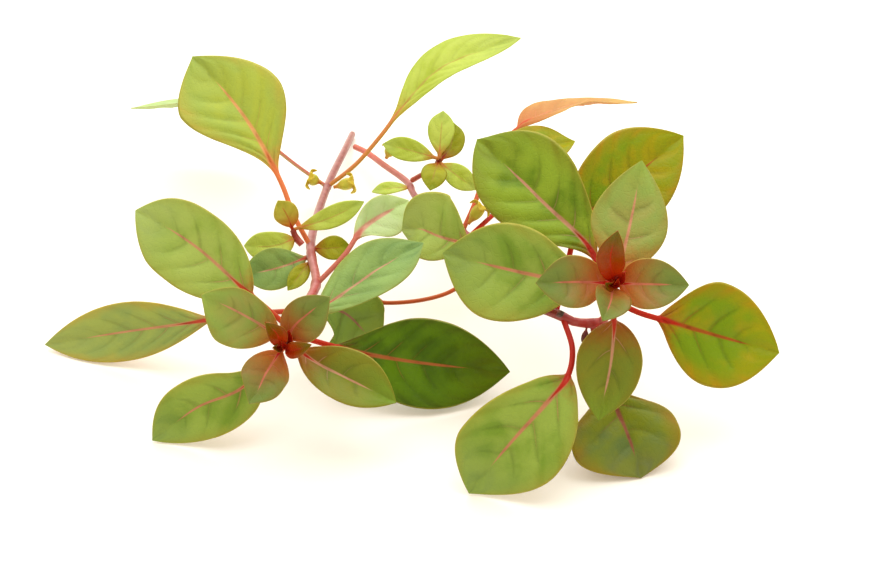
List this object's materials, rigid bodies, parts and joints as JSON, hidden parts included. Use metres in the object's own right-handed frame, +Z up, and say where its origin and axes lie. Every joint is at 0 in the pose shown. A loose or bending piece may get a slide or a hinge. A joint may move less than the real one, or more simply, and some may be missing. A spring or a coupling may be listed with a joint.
{
  "type": "ludwigia repens cutting",
  "caption": "Cut shoot of a red-stemmed aquarium plant, lying propped on its own leaves, with rosettes of oval leaves at the shoot tips.",
  "frame": {"origin": "middle of the footprint, on the surface that the cutting lies on", "axes": "+X to the right across both rosettes, +Y from the rosettes to the cut end of the main stem, +Z up"},
  "size_m": [0.1621, 0.1527, 0.0532],
  "materials": {
    "stem": "satin",
    "green_leaf": "satin",
    "deep_leaf": "satin",
    "red_leaf": "satin",
    "capsule": "matte"
  },
  "bodies": {
    "root": {"main_stem": "stem", "side_branch": "stem", "back_side_shoot": "stem", "low_side_shoot": "stem", "left_leaf_1a": "green_leaf", "left_leaf_1b": "green_leaf", "left_leaf_2a": "green_leaf", "left_leaf_2b": "deep_leaf", "left_leaf_3a": "green_leaf", "left_leaf_3b": "green_leaf", "left_leaf_4a": "green_leaf", "left_leaf_4b": "green_leaf", "left_leaf_5a": "green_leaf", "left_leaf_5b": "red_leaf", "left_leaf_6a": "red_leaf", "left_leaf_6b": "red_leaf", "right_leaf_1a": "green_leaf", "right_leaf_1b": "green_leaf", "right_leaf_2a": "green_leaf", "right_leaf_2b": "green_leaf", "right_leaf_3a": "green_leaf", "right_leaf_3b": "green_leaf", "right_leaf_4a": "red_leaf", "right_leaf_4b": "red_leaf", "right_leaf_5a": "red_leaf", "right_leaf_5b": "red_leaf", "right_leaf_6a": "red_leaf", "right_leaf_6b": "red_leaf", "main_leaf_1a": "green_leaf", "main_leaf_1b": "green_leaf", "main_leaf_2a": "green_leaf", "main_leaf_3a": "green_leaf", "branch_leaf_1a": "green_leaf", "branch_leaf_2a": "red_leaf", "branch_leaf_2b": "green_leaf", "branch_leaf_3a": "green_leaf", "branch_leaf_3b": "red_leaf", "low_leaf_1a": "green_leaf", "low_leaf_1b": "green_leaf", "low_leaf_2a": "green_leaf", "low_leaf_2b": "green_leaf", "low_leaf_3a": "green_leaf", "low_leaf_3b": "green_leaf", "back_leaf_1a": "green_leaf", "back_leaf_1b": "green_leaf", "back_leaf_2a": "green_leaf", "back_leaf_2b": "green_leaf", "back_leaf_3": "green_leaf", "main_capsule_a": "capsule", "main_capsule_b": "capsule", "branch_capsule_a": "capsule", "branch_capsule_b": "capsule"}
  },
  "joints": []
}
